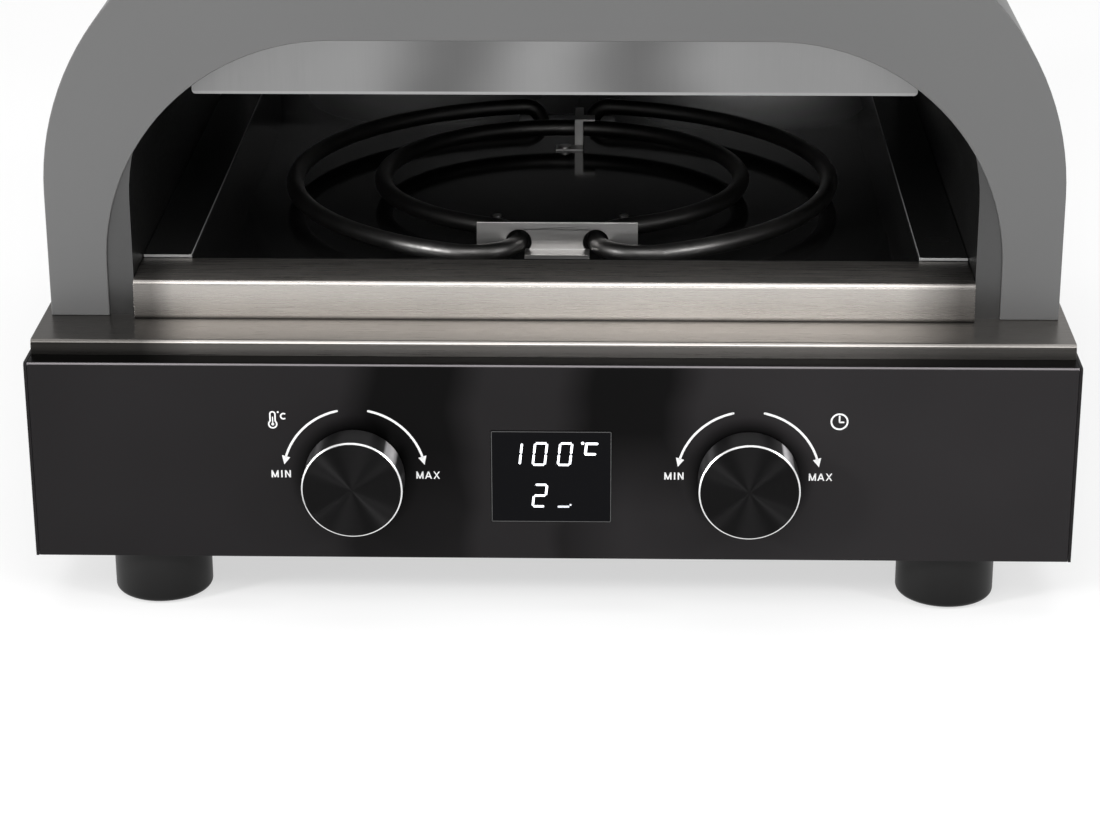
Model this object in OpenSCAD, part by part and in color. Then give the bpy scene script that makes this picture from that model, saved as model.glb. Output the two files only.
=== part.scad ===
// Countertop electric pizza oven, stone removed, standing on four feet.
// X is the width, +Y runs from the control panel to the rear, +Z is up and Z = 0 is the worktop.
// Depths named *_y are measured back from the control panel's front face.

/* [Base] */
// Width of the base box
base_w = 430; // [410:1:520]
// Depth of the base box from the panel's face to the rear wall
base_d = 455; // [450:1:540]
// Height of the base box without its feet
base_h = 85.5; // [78:0.5:120]
// Sheet thickness of the base box and its panel
base_t = 1.2; // [0.8:0.1:1.6]
// Outer bend radius along the panel's top edge
panel_bend = 1.4; // [1.4:0.1:5]
// Depth of the panel's folded flanges
panel_flange = 14; // [12:1:16]
// Width of the base box's inward flanges
base_flange = 18; // [14:1:18]
// Width of one cooling slot
vent_w = 4; // [3:0.5:5]
// Length of one cooling slot
vent_l = 34; // [20:1:40]
// Spacing of the cooling slots
vent_pitch = 10; // [8:0.5:12]
// Cooling slots in one group
vent_count = 6; // [3:1:7]

/* [Feet] */
// Height of a foot from the worktop to the base
foot_h = 25; // [20:1:40]
// Diameter of a foot
foot_d = 41; // [36:1:46]
// Distance of a foot's centre from the base's side
foot_side = 49; // [30:1:80]
// Distance of a front foot's centre behind the panel's face
foot_y = 26; // [24:1:40]
// Distance of a rear foot's centre in front of the rear wall
foot_rear = 40; // [26:1:60]
// Diameter of the soft pad under a foot
pad_d = 30; // [24:1:32]
// Thickness of the soft pad
pad_t = 2.8; // [2:0.1:4]
// How far the pad stands out under the foot
pad_out = 0.8; // [0.5:0.1:1.2]

/* [Display] */
// Width of the display window
display_w = 49.2; // [40:0.1:60]
// Height of the display window
display_h = 40.2; // [30:0.1:44]
// Thickness of the display window
display_t = 2.2; // [1.6:0.1:3]
// Height of the display's middle above the underside of the base
display_z = 36.7; // [34:0.1:42]

/* [Knobs] */
// Distance of a knob's axis from the middle plane
knob_x = 80.9; // [70:0.1:92]
// Height of the knob axes above the underside of the base
knob_z = 36.6; // [34:0.1:44]
// Outer diameter of a knob
knob_d = 41.4; // [34:0.1:46]
// Depth of a knob from its open rim to its face
knob_h = 15; // [13:0.1:22]
// Gap between a knob's rim and the panel
knob_gap = 0.8; // [0.5:0.1:1.5]
// Wall thickness of the knob's metal cup
knob_wall = 1.2; // [0.8:0.1:2]
// Thickness of the knob's face
knob_face = 1.5; // [1:0.1:2]
// Width of the bright chamfer round the knob's face
knob_chamfer = 0.8; // [0.4:0.1:1.2]
// Diameter of an encoder shaft
shaft_d = 6; // [5:0.1:6.4]
// Radial running clearance between a shaft and its bush
shaft_clear = 0.06; // [0.03:0.01:0.09]
// Outer diameter of an encoder's threaded bush
bush_d = 9; // [8.6:0.1:10]

/* [Stepped front] */
// Distance of the lower steel step's face behind the panel's face
deck_y = 9.6; // [6:0.1:12]
// Height of the lower steel step above the base
deck_h = 6.5; // [5:0.1:12]
// Sheet thickness of the steel deck, landing and stone rests
steel_t = 1; // [0.8:0.1:1.2]
// Inset of the deck's side edges from the base's side walls
deck_inset = 1.5; // [1:0.1:4]
// Distance of the landing's face behind the panel's face
landing_y = 36.5; // [28:0.1:39]
// Depth of the landing
landing_d = 30.2; // [24:0.1:36]
// Height of the landing above the deck
landing_h = 16.7; // [12:0.1:22]
// Outer bend radius of the landing's front edge
landing_bend = 2.4; // [1.5:0.1:4]

/* [Cavity] */
// Distance of the cavity's side wall from the hood's side
cavity_side = 35; // [34.5:0.5:39]
// Distance of the cavity's rear wall from the hood's rear face
cavity_rear = 37.3; // [30:0.1:42]
// Height of the cavity's ceiling above the deck
cavity_h = 135; // [125:1:142]
// Corner radius between the cavity's walls and its ceiling
cavity_r = 85; // [60:1:90]
// Sheet thickness of the cavity liner
liner_t = 0.8; // [0.6:0.1:1.2]
// Width of a stone rest
rest_w = 20.7; // [16:0.1:26]
// Thickness of a stone rest
rest_t = 1.6; // [1.2:0.1:2.4]
// Depth of the heater well below the stone rests' top
well_drop = 20.2; // [18.5:0.1:21]
// Sheet thickness of the heater well
well_t = 1; // [0.6:0.1:1.2]

/* [Hood] */
// Inset of the hood's side from the base's side
hood_side = 5; // [3:0.5:8]
// Overall height of the oven without its feet
hood_top = 265; // [262:1:285]
// Outer corner radius of the hood
hood_r = 120; // [105:1:125]
// Sheet thickness of the hood
hood_t = 1; // [0.8:0.1:1.4]
// Distance of the hood's front face behind the panel's face
hood_y = 40; // [37:0.5:50]
// Width of the hood's front beside the mouth
mouth_side = 24.4; // [22:0.1:33]
// Height of the mouth above the deck
mouth_h = 117.8; // [105:0.1:120]
// Corner radius of the mouth
mouth_r = 95.9; // [80:0.1:105]
// Distance of the baffle behind the hood's front face
baffle_back = 20; // [10:1:30]
// Distance of the baffle's end from the cavity's wall
baffle_side = 25.3; // [16:0.1:34]
// Height of the baffle's lower edge above the deck
baffle_z = 90.4; // [80:0.1:98]
// Depth of the flange that holds the baffle to the ceiling
baffle_flange = 14; // [8:1:24]

/* [Heaters] */
// Diameter of the heater tubes
tube_d = 8; // [6:0.1:8.4]
// Height of the lower heater's middle above the well's floor
tube_rise = 8.7; // [8:0.1:10]
// Middle radius of the lower heater's outer ring
ring_outer = 126; // [122:0.1:130]
// Middle radius of the lower heater's inner ring
ring_inner = 84.5; // [80:0.1:88]
// Distance of the rings' middle in front of the well's middle
ring_fore = 14.85; // [12:0.05:18]
// Half the space between the two front turns
turn_gap = 17; // [16.6:0.1:18]
// Half the distance between the lower heater's legs
leg_x = 13; // [12:0.1:15]
// Bend radius where the lower heater turns down into its legs
leg_bend = 9; // [8:0.1:10]
// Length of a heater leg below the well's floor
leg_len = 26; // [22:1:30]
// Drop of the upper heater's middle below the ceiling
upper_drop = 14; // [12:0.5:18]
// Gap between the upper heater's side and the cavity's rounded shoulder
upper_gap = 8; // [6:0.5:20]
// Bend radius of the upper heater
upper_bend = 20; // [14:1:26]
// Distance of a hanger from the upper heater's side
hanger_in = 48; // [38:1:54]
// Width of a hanger
hanger_w = 10; // [6:1:14]

/* [Heater bracket] */
// Width of the front bracket
bracket_w = 71; // [64:0.5:74]
// Distance of the bracket's plate behind the middle of the front turns
bracket_back = 0.25; // [-1:0.05:1.5]
// Thickness of the bracket
bracket_t = 1.2; // [1:0.1:1.6]
// Drop of the bracket's top edge below the stone rests
bracket_drop = 1.5; // [1:0.1:3]
// Diameter of the bracket's notches
notch_d = 11.3; // [11:0.1:12]
// Width of the bracket's middle leg
leg_plate_w = 28.4; // [26:0.1:29]

/* [Insulation] */
// Depth of the insulation tray below the deck's foot
tray_depth = 19.5; // [14:0.5:24]
// Gap between a blanket and the sheet round it
blanket_gap = 0.4; // [0.3:0.1:1]

/* [Hidden] */
$fn = 64;

// Clearance between pieces of one assembly, and the larger one between bodies
fit_gap = 0.3;
eps = 0.01;

// Rear-most point is the cable gland, front-most the knobs' faces; the origin is midway between them
gland_out = 14;
knob_reach = knob_h + knob_gap;
front_y = -(base_d + gland_out - knob_reach) / 2;

hood_rear_in = 6;
deck_rear_in = 3;
base_z = foot_h;
base_top = base_z + base_h;
deck_top = base_top + deck_h;
landing_top = deck_top + landing_h;
landing_back = landing_y + landing_d;
rest_top = landing_top + 1.5;
well_floor = rest_top - well_drop;
well_front = landing_back + fit_gap;
hood_back = base_d - hood_rear_in;
cavity_back = hood_back - cavity_rear;
well_back = cavity_back - 1;
hood_half = base_w / 2 - hood_side;
cavity_half = hood_half - cavity_side;
mouth_half = hood_half - mouth_side;
baffle_half = cavity_half - baffle_side;
foot_x = base_w / 2 - foot_side;
rest_in = cavity_half - fit_gap - rest_w;
rest_out = cavity_half - fit_gap;
ceiling = deck_top + cavity_h;
hood_z = base_z + hood_top;
mouth_top = deck_top + mouth_h;
baffle_y = hood_y + baffle_back;
deck_back = base_d - deck_rear_in;
deck_half = base_w / 2 - deck_inset;

// Lower heater: rings round the same middle, joined at the front by half-circle turns of the mean spacing
tube_r = tube_d / 2;
tube_z = well_floor + tube_rise;
turn_r = (ring_outer - ring_inner) / 2;
turn_mid = (ring_outer + ring_inner) / 2;
turn_x = turn_gap + turn_r;
ring_y = (well_front + well_back) / 2 - ring_fore;
turn_side = asin(turn_x / turn_mid);
leg_turn = acos((leg_x + leg_bend * cos(8)) / ring_outer);
leg_start = [ring_outer * cos(leg_turn), ring_y + ring_outer * sin(leg_turn)];
leg_mid = leg_start + leg_bend * [-sin(leg_turn), cos(leg_turn)];
ring_rear = ring_y + ring_outer;

// Wiring passage behind the cavity, from the base up to the upper heater's ends
passage_w = 84;
passage_y = hood_back - 14;
passage_d = 11;
passage_over = 12;

// Fits in the panel
display_gap = 0.2;
bush_gap = 0.2;
board_y = 8.5;
board_t = 1.6;
board_w = 200;
board_h = 60;
encoder_w = 13;
nut_af = 12;
nut_t = 2.2;

// Moves children to a point whose depth is measured from the panel's face
module at(x, y, z) {
  translate([x, front_y + y, z]) children();
}

// Extrudes an X-Z outline from depth y0 to depth y1
module along_y(y0, y1) {
  at(0, y1, 0) rotate([90, 0, 0]) linear_extrude(y1 - y0) children();
}

// Extrudes a depth-height outline from x0 to x1
module along_x(x0, x1) {
  at(x0, 0, 0) rotate([90, 0, 90]) linear_extrude(x1 - x0) children();
}

// Extrudes a plan outline, whose second coordinate is a depth, from z0 to z1
module along_z(z0, z1) {
  at(0, 0, z0) linear_extrude(z1 - z0) children();
}

// Box between two corners, in the part's axes with depths from the panel's face
module block(low, high) {
  at(low[0], low[1], low[2]) cube(high - low);
}

// Rod along Y between two depths
module rod_y(x, z, y0, y1, r) {
  at(x, y1, z) rotate([90, 0, 0]) cylinder(h = y1 - y0, r = r);
}

// Rod along Z between two heights
module rod_z(x, y, z0, z1, r) {
  at(x, y, z0) cylinder(h = z1 - z0, r = r);
}

// Arch outline: upright sides, rounded shoulders, flat top
module arch(half, bottom, top, r) {
  translate([-half, bottom]) square([2 * half, top - r - bottom]);
  translate([r - half, bottom]) square([2 * (half - r), top - bottom]);
  for (s = [-1, 1]) {
    intersection() {
      translate([s * (half - r), top - r]) circle(r, $fn = 128);
      translate([s > 0 ? half - r : -half, top - r]) square([r, r]);
    }
  }
}

// Bent sheet outline in depth and height: a face, a top flange and, if foot > 0, a rear leg
module bent_sheet(y0, y1, z0, z1, t, r, foot) {
  difference() {
    union() {
      translate([y0, z0]) square([y1 - y0, z1 - z0 - r]);
      translate([y0 + r, z0]) square([y1 - y0 - r, z1 - z0]);
      translate([y0 + r, z1 - r]) circle(r);
    }
    translate([y0 + t, z0 - 1]) square([y1 - y0 - t - foot + (foot > 0 ? 0 : 1), z1 - z0 - r + 1]);
    translate([y0 + r, z0 - 1]) square([y1 - y0 - r - foot + (foot > 0 ? 0 : 1), z1 - t - z0 + 1]);
    translate([y0 + r, z1 - r]) circle(max(r - t, eps));
  }
}

// Slots for cooling air, lying along the outline's second coordinate
module slots(x_mid, start, length) {
  for (i = [0 : vent_count - 1]) {
    translate([x_mid + (i - (vent_count - 1) / 2) * vent_pitch - vent_w / 2, start])
      square([vent_w, length]);
  }
}

// Feet
module foot(x, y) {
  edge = 2.5;
  recess = 12;
  shelf = foot_h - foot_shelf;
  color([0.1, 0.1, 0.1])
    at(x, y, 0)
      difference() {
        rotate_extrude() {
          translate([0, pad_out]) square([foot_d / 2 - edge, foot_h - pad_out]);
          translate([0, pad_out + edge]) square([foot_d / 2, foot_h - pad_out - edge]);
          intersection() {
            translate([foot_d / 2 - edge, pad_out + edge]) circle(edge);
            translate([foot_d / 2 - edge, 0]) square([edge, foot_h]);
          }
        }
        translate([0, 0, -1]) cylinder(h = pad_t + 1, d = pad_d + 2 * display_gap);
        translate([0, 0, pad_t - 1]) cylinder(h = shelf - pad_t + 1, d = recess);
        cylinder(h = foot_h + 1, d = foot_bolt_d + 0.4);
      }
}

foot_bolt_d = 5;
foot_shelf = 8;
foot_places = [for (y = [foot_y, base_d - foot_rear]) for (x = [-foot_x, foot_x]) [x, y]];

module foot_pads() {
  color([0.2, 0.2, 0.2])
    for (p = foot_places) {
      rod_z(p[0], p[1], 0, pad_t, pad_d / 2);
    }
}

module foot_screws() {
  head_h = 3.4;
  head_r = 4.6;
  shelf = foot_h - foot_shelf;
  nut_h = 4;
  nut_d = 9.2;
  color([0.7, 0.7, 0.72])
    for (p = foot_places) {
      rod_z(p[0], p[1], shelf - head_h, shelf, head_r);
      rod_z(p[0], p[1], shelf - 1, base_z + base_t + nut_h + 2, foot_bolt_d / 2);
      at(p[0], p[1], base_z + base_t) cylinder(h = nut_h, d = nut_d, $fn = 6);
    }
}

// Base box
cover_half = base_w / 2 - base_t - fit_gap;
cover_y0 = base_t + fit_gap;
cover_y1 = base_d - base_t - fit_gap;
flange_z = base_z + base_t;
cover_vent_x = 90;
cover_vent_y = 205;
rear_vent_x = 55;
rear_vent_z = 28;
screw_d = 3;
screw_x = base_w / 2 - base_t - base_flange / 2;
cover_screws = [for (y = [base_d * 0.25, base_d * 0.5, base_d * 0.75]) for (x = [-screw_x, screw_x]) [x, y]];

module bottom_cover() {
  color([0.12, 0.12, 0.12])
    along_z(base_z, base_z + base_t)
      difference() {
        translate([-cover_half, cover_y0]) square([2 * cover_half, cover_y1 - cover_y0]);
        for (x = [-cover_vent_x, cover_vent_x]) {
          slots(x, cover_vent_y, vent_l);
        }
        for (p = foot_places) {
          translate(p) circle(d = foot_bolt_d + 0.4);
        }
        for (p = cover_screws) {
          translate(p) circle(d = screw_d + 0.4);
        }
      }
}

module bottom_screws() {
  color([0.5, 0.5, 0.52])
    for (p = cover_screws) {
      rod_z(p[0], p[1], base_z - 1.8, base_z, 2.8);
      rod_z(p[0], p[1], base_z - 1, flange_z + base_t + 2, screw_d / 2);
    }
}

// Upright side of the base box, with its front top corner rounded like the panel
module side_outline() {
  translate([0, base_z]) square([base_d, base_h - panel_bend]);
  translate([panel_bend, base_z]) square([base_d - panel_bend, base_h]);
  translate([panel_bend, base_top - panel_bend]) circle(panel_bend);
}

// Inward flanges of the base box: both sides and the rear
rear_flange = 26;

module flange_outline() {
  inner = base_w / 2 - base_t - base_flange;
  start = panel_flange + fit_gap;
  for (s = [-1, 1]) {
    translate([s > 0 ? inner : -base_w / 2 + eps, start]) square([base_w / 2 - inner - eps, base_d - start]);
  }
  translate([-base_w / 2 + eps, base_d - base_t - rear_flange])
    square([base_w - 2 * eps, base_t + rear_flange]);
}

module base_shell() {
  gland_hole = gland_d + 2 * bush_gap;
  color([0.1, 0.1, 0.1])
    difference() {
      union() {
        for (x = [-base_w / 2, base_w / 2 - base_t]) {
          along_x(x, x + base_t) side_outline();
        }
        block([-base_w / 2, base_d - base_t, base_z], [base_w / 2, base_d, base_top]);
        along_z(flange_z, flange_z + base_t)
          difference() {
            flange_outline();
            for (p = cover_screws) {
              translate(p) circle(d = screw_d + 0.2);
            }
          }
        along_z(base_top - base_t, base_top)
          difference() {
            flange_outline();
            translate([-passage_w / 2, passage_y]) square([passage_w, passage_d]);
          }
      }
      rod_y(gland_x, gland_z, base_d - base_t - 1, base_d + 1, gland_hole / 2);
      along_y(base_d - base_t - 1, base_d + 1)
        for (x = [-rear_vent_x, rear_vent_x]) {
          slots(x, base_z + rear_vent_z, vent_l);
        }
    }
}

// Control panel
panel_half = base_w / 2 - base_t - 0.1;

module control_panel() {
  color([0.12, 0.12, 0.12])
    difference() {
      union() {
        along_x(-panel_half, panel_half)
          bent_sheet(0, panel_flange, base_z, base_top, base_t, panel_bend, 0);
        block([-panel_half, base_t / 2, flange_z], [panel_half, panel_flange, flange_z + base_t]);
      }
      block(
        [-display_w / 2 - display_gap, -1, base_z + display_z - display_h / 2 - display_gap],
        [display_w / 2 + display_gap, base_t + 1, base_z + display_z + display_h / 2 + display_gap]
      );
      for (s = [-1, 1]) {
        rod_y(s * knob_x, base_z + knob_z, -1, base_t + 1, bush_d / 2 + bush_gap);
      }
    }
}

module display_window() {
  color([0.02, 0.02, 0.03])
    block(
      [-display_w / 2, 0, base_z + display_z - display_h / 2],
      [display_w / 2, display_t, base_z + display_z + display_h / 2]
    );
}

module display_module() {
  margin = 1.5;
  color([0.75, 0.76, 0.78])
    block(
      [margin - display_w / 2, display_t, base_z + display_z - display_h / 2 + margin],
      [display_w / 2 - margin, board_y, base_z + display_z + display_h / 2 - margin]
    );
}

standoff_r = 3;
board_mid = base_z + display_z;
standoff_in = 5;
standoff_places = [
  for (z = [-1, 1])
    for (x = [-1, 1])
      [x * (board_w / 2 - standoff_in), board_mid + z * (board_h / 2 - standoff_in)]
];

module control_board() {
  color([0.05, 0.3, 0.15])
    block(
      [-board_w / 2, board_y, board_mid - board_h / 2],
      [board_w / 2, board_y + board_t, board_mid + board_h / 2]
    );
}

module board_standoffs() {
  color([0.8, 0.78, 0.6])
    for (p = standoff_places) {
      rod_y(p[0], p[1], base_t, board_y, standoff_r);
    }
}

// Rotary encoders
bush_out = 4.6;
encoder_y = base_t + fit_gap;
shaft_in = 5.6;
shaft_end = knob_reach - knob_face - 0.1;
core_open = 5.2;

module encoder(side) {
  color([0.55, 0.56, 0.58])
    difference() {
      union() {
        block(
          [side * knob_x - encoder_w / 2, encoder_y, base_z + knob_z - encoder_w / 2],
          [side * knob_x + encoder_w / 2, board_y, base_z + knob_z + encoder_w / 2]
        );
        rod_y(side * knob_x, base_z + knob_z, -bush_out, encoder_y + 1, bush_d / 2);
      }
      rod_y(side * knob_x, base_z + knob_z, -bush_out - 1, shaft_in + 0.2, shaft_d / 2 + shaft_clear);
    }
}

module encoder_nuts() {
  color([0.75, 0.75, 0.77])
    for (s = [-1, 1]) {
      difference() {
        at(s * knob_x, 0, base_z + knob_z)
          rotate([90, 0, 0])
            cylinder(h = nut_t, d = nut_af / cos(30), $fn = 6);
        rod_y(s * knob_x, base_z + knob_z, -nut_t - 1, 1, bush_d / 2 + 0.05);
      }
    }
}

// Shaft outline with its flat, in the knob's own plane; grow is added all round
module flat_shaft_outline(grow) {
  difference() {
    circle(r = shaft_d / 2 + grow);
    translate([-shaft_d, shaft_d / 2 - 1.2 + grow]) square([2 * shaft_d, shaft_d]);
  }
}

module encoder_shaft(side) {
  color([0.8, 0.8, 0.82]) {
    rod_y(side * knob_x, base_z + knob_z, -bush_out - 1, shaft_in, shaft_d / 2);
    at(side * knob_x, -bush_out - 1 + eps, base_z + knob_z)
      rotate([90, 0, 0]) linear_extrude(shaft_end - bush_out - 1 + eps) flat_shaft_outline(0);
  }
}

module knob_core(side) {
  outer = knob_d / 2 - knob_wall - 0.1;
  color([0.08, 0.08, 0.08])
    difference() {
      rod_y(side * knob_x, base_z + knob_z, knob_face - knob_reach, -knob_gap - 1, outer);
      rod_y(side * knob_x, base_z + knob_z, -knob_gap - core_open, 0, nut_af / 2 + 3);
      at(side * knob_x, 0, base_z + knob_z)
        rotate([90, 0, 0]) linear_extrude(shaft_end) flat_shaft_outline(0.05);
    }
}

module knob(side) {
  r = knob_d / 2;
  color([0.06, 0.06, 0.07])
    at(side * knob_x, -knob_gap, base_z + knob_z)
      rotate([90, 0, 0])
        difference() {
          union() {
            cylinder(h = knob_h - knob_chamfer, r = r);
            translate([0, 0, knob_h - knob_chamfer])
              cylinder(h = knob_chamfer, r1 = r, r2 = r - knob_chamfer);
          }
          translate([0, 0, -1]) cylinder(h = knob_h - knob_face + 1, r = r - knob_wall);
        }
}

// Power electronics on the bottom cover
relay_side = 45;
relay_low = [relay_side - base_w / 2, 150];
relay_size = [110, 80];
standoff_h = 10;
relay_z = base_z + base_t + standoff_h;
relay_w = 13;
relay_l = 29;
relay_h = 16;
relay_pitch = 18;
supply_w = 36;
supply_l = 32;
supply_h = 28;
part_inset = 8;
gland_side = 65;
block_x = base_w / 2 - gland_side;
block_rear = 70;
block_y = base_d - block_rear;
block_w = 40;
block_l = 18;
block_h = 16;
block_pitch = 12;

module relay_board() {
  color([0.05, 0.32, 0.16])
    block(
      [relay_low[0], relay_low[1], relay_z],
      [relay_low[0] + relay_size[0], relay_low[1] + relay_size[1], relay_z + board_t]
    );
}

module relay_standoffs() {
  inset = 6;
  color([0.8, 0.78, 0.6])
    for (x = [inset, relay_size[0] - inset]) {
      for (y = [inset, relay_size[1] - inset]) {
        rod_z(relay_low[0] + x, relay_low[1] + y, base_z + base_t, relay_z, standoff_r);
      }
    }
}

module board_parts() {
  top = relay_z + board_t;
  near = relay_low + [part_inset, part_inset];
  far_x = relay_low[0] + relay_size[0] - part_inset;
  color([0.1, 0.15, 0.4])
    for (i = [0 : 2]) {
      block(
        [near[0] + i * relay_pitch, near[1], top],
        [near[0] + i * relay_pitch + relay_w, near[1] + relay_l, top + relay_h]
      );
    }
  color([0.7, 0.6, 0.2])
    block([far_x - supply_w, near[1], top], [far_x, near[1] + supply_l, top + supply_h]);
}

module terminal_block() {
  screw_r = 3;
  low = base_z + base_t;
  color([0.85, 0.83, 0.75])
    difference() {
      block(
        [block_x - block_w / 2, block_y - block_l / 2, low],
        [block_x + block_w / 2, block_y + block_l / 2, low + block_h]
      );
      for (i = [-1, 0, 1]) {
        rod_z(
          block_x + i * block_pitch, block_y + block_l / 4,
          low + block_h / 2, low + block_h + 1, screw_r
        );
      }
    }
}

// Straight wire runs through a list of points, with round elbows
module wire(points, r) {
  for (i = [0 : len(points) - 2]) {
    a = points[i];
    d = points[i + 1] - a;
    length = norm(d);
    if (length > 0) {
      at(a[0], a[1], a[2])
        rotate([0, acos(d[2] / length), atan2(d[1], d[0])])
          cylinder(h = length, r = r, $fn = 24);
    }
  }
  for (i = [1 : len(points) - 2]) {
    at(points[i][0], points[i][1], points[i][2]) sphere(r, $fn = 24);
  }
}

module internal_wires() {
  wire_r = 1.5;
  wire_gap = 8;
  row_in = 14;
  loom_drop = 21.8;
  loom_step = 14;
  top = relay_z + board_t;
  loom_z = tray_z - loom_drop;
  supply_z = loom_z - wire_gap - wire_r;
  row = relay_low[1] + relay_size[1] - row_in;
  leg_end = well_floor - leg_len - bead_h - pin_h;
  block_top = base_z + base_t + block_h;
  lane = [for (i = [1 : 3]) relay_low[0] + i * 30 - 8];
  passage_mid = passage_y + passage_d / 2;
  color([0.75, 0.2, 0.15]) {
    wire([
      [block_x - block_pitch, block_y - block_l / 4, block_top],
      [block_x - block_pitch, block_y - block_l / 4, supply_z],
      [lane[2], block_y - block_l / 4, supply_z],
      [lane[2], row, supply_z],
      [lane[2], row, top]
    ], wire_r);
    for (s = [-1, 1]) {
      leg_y = leg_mid[1] + (s + 1) / 2 * wire_gap;
      lead_y = passage_mid + (s + 1) / 2 * wire_gap;
      wire([
        [s * leg_mid[0], leg_mid[1], leg_end],
        [s * leg_mid[0], leg_mid[1], loom_z + s * wire_gap / 2],
        [s * leg_mid[0], leg_y, loom_z + s * wire_gap / 2],
        [lane[1] + s * wire_gap, leg_y, loom_z + s * wire_gap / 2],
        [lane[1] + s * wire_gap, row, loom_z + s * wire_gap / 2],
        [lane[1] + s * wire_gap, row, top]
      ], wire_r);
      wire([
        [s * upper_lead, passage_mid, upper_z - tube_r],
        [s * upper_lead, passage_mid, loom_z + loom_step + s * wire_gap / 2],
        [s * upper_lead, lead_y, loom_z + loom_step + s * wire_gap / 2],
        [lane[0] + s * wire_gap, lead_y, loom_z + loom_step + s * wire_gap / 2],
        [lane[0] + s * wire_gap, row, loom_z + loom_step + s * wire_gap / 2],
        [lane[0] + s * wire_gap, row, top]
      ], wire_r);
    }
  }
}

// Mains inlet gland in the rear wall
gland_rise = 34;
gland_x = base_w / 2 - gland_side;
gland_z = base_z + gland_rise;
gland_d = 16;
gland_bore = 8.6;
gland_flange_d = 24;
gland_flange_t = 5;
gland_in = 10;
gland_nose = 3;
gland_nut_af = 25;

module cable_gland() {
  color([0.06, 0.06, 0.06])
    difference() {
      union() {
        rod_y(gland_x, gland_z, base_d, base_d + gland_flange_t, gland_flange_d / 2);
        rod_y(gland_x, gland_z, base_d - gland_in, base_d + gland_out - gland_nose, gland_d / 2);
        at(gland_x, base_d + gland_out - gland_nose, gland_z)
          rotate([-90, 0, 0])
            cylinder(h = gland_nose, r1 = gland_d / 2, r2 = gland_bore / 2 + 1.6);
      }
      rod_y(gland_x, gland_z, base_d - gland_in - 1, base_d + gland_out + 1, gland_bore / 2);
    }
}

module gland_nut() {
  color([0.06, 0.06, 0.06])
    difference() {
      at(gland_x, base_d - base_t, gland_z)
        rotate([90, 0, 0])
          cylinder(h = gland_flange_t, d = gland_nut_af, $fn = 6);
      rod_y(gland_x, gland_z, base_d - gland_in - 2, base_d, gland_d / 2 + 0.05);
    }
}

// Insulation under the well
tray_half = rest_in + 6;
tray_y0 = well_front - 2;
tray_y1 = well_back + 2;
tray_z = base_top - tray_depth;
slot_w = 49.2;
slot_y0 = ring_rear - 7;
slot_y1 = ring_rear + 16;
terminal_room = 9;
plate_margin = 6;
plate_t = 1.2;

module insulation_tray() {
  rim_half = base_w / 2 - 8;
  color([0.7, 0.7, 0.71])
    difference() {
      union() {
        block([-tray_half, tray_y0, tray_z], [tray_half, tray_y1, base_top]);
        block(
          [-rim_half, deck_y + steel_t + fit_gap, base_top],
          [rim_half, passage_y - 1, base_top + liner_t]
        );
      }
      block(
        [liner_t - tray_half, tray_y0 + liner_t, tray_z + liner_t],
        [tray_half - liner_t, tray_y1 - liner_t, base_top + 2]
      );
      block(
        [-slot_w / 2 - terminal_room, slot_y0 - terminal_room, tray_z - 1],
        [slot_w / 2 + terminal_room, slot_y1 + terminal_room, tray_z + 2]
      );
    }
}

module lower_insulation() {
  in = liner_t + blanket_gap;
  color([0.9, 0.88, 0.82])
    difference() {
      block(
        [in - tray_half, tray_y0 + in, tray_z + liner_t],
        [tray_half - in, tray_y1 - in, well_floor - well_t - fit_gap]
      );
      block(
        [-slot_w / 2 - terminal_room, slot_y0 - terminal_room, tray_z],
        [slot_w / 2 + terminal_room, slot_y1 + terminal_room, well_floor]
      );
    }
}

// Steel deck: its folded front is the lower of the two bright steps
deck_bend = 2;

module deck_plate() {
  cut_half = rest_in + well_t + 0.4;
  color([0.72, 0.71, 0.69])
    difference() {
      along_x(-deck_half, deck_half)
        bent_sheet(deck_y, deck_back, base_top, deck_top, steel_t, deck_bend, steel_t);
      block([-cut_half, well_front - 0.2, base_top - 1], [cut_half, well_back + 0.4, deck_top + 1]);
      block(
        [-passage_w / 2, passage_y, base_top - 1],
        [passage_w / 2, passage_y + passage_d, deck_top + 1]
      );
    }
  color([0.72, 0.71, 0.69])
    for (x = [-deck_half, deck_half - steel_t]) {
      block(
        [x, deck_y + deck_bend, base_top],
        [x + steel_t, deck_back - steel_t / 2, deck_top - steel_t / 2]
      );
    }
}

module landing() {
  half = cavity_half - fit_gap;
  color([0.76, 0.74, 0.71])
    along_x(-half, half)
      bent_sheet(landing_y, landing_back, deck_top, landing_top, steel_t, landing_bend, steel_t);
}

// Black heater well, open at the top, with a slot for the heater's legs
module heater_well() {
  out = rest_in + well_t;
  color([0.05, 0.05, 0.05])
    difference() {
      block([-out, well_front, well_floor - well_t], [out, well_back, rest_top - rest_t]);
      block([-rest_in, well_front + well_t, well_floor], [rest_in, well_back - well_t, rest_top + 1]);
      block([-slot_w / 2, slot_y0, well_floor - 2], [slot_w / 2, slot_y1, well_floor + 1]);
    }
}

module stone_rest(side) {
  color([0.08, 0.08, 0.08])
    along_y(well_front - 0.1, cavity_back - fit_gap)
      mirror([side > 0 ? 0 : 1, 0])
        union() {
          translate([rest_in, rest_top - rest_t]) square([rest_out - rest_in, rest_t]);
          translate([rest_out - rest_t, deck_top]) square([rest_t, rest_top - deck_top]);
        }
}

// Lower heater: two rings joined by two front turns, with two legs down through the well's slot

// Tube along an arc of radius r, from angle a0 to a1
module tube_arc(r, a0, a1) {
  rotate([0, 0, a0]) rotate_extrude(angle = a1 - a0, $fn = 72) translate([r, 0]) circle(tube_r, $fn = 20);
}

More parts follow.
